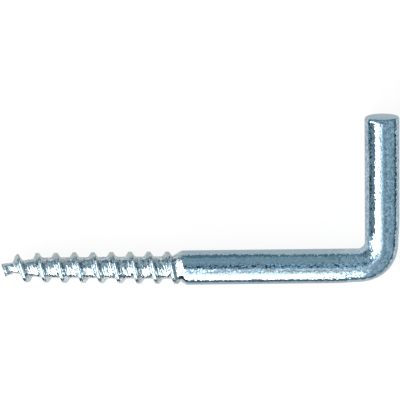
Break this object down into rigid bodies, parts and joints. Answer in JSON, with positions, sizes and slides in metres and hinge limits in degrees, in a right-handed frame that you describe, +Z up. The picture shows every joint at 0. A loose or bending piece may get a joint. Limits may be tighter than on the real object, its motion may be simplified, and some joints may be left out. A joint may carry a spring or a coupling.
{
  "type": "screw hook",
  "caption": "Square-bend screw hook in round zinc-plated steel wire: wood-screw thread with a blunt tip, plain shank, tight right-angle bend and straight arm.",
  "frame": {"origin": "on the surface that the hook lies on, under the middle of its outline", "axes": "+X along the shank, from the screw's tip towards the arm; +Y along the arm, towards its cut end; +Z up, square to the plane of the bend"},
  "size_m": [0.06, 0.0254, 0.0052],
  "materials": {
    "zinc_plated_steel": "bright bluish zinc plating, satin with a fine grain"
  },
  "bodies": {
    "root": {"screw_hook": "zinc_plated_steel"}
  },
  "joints": []
}
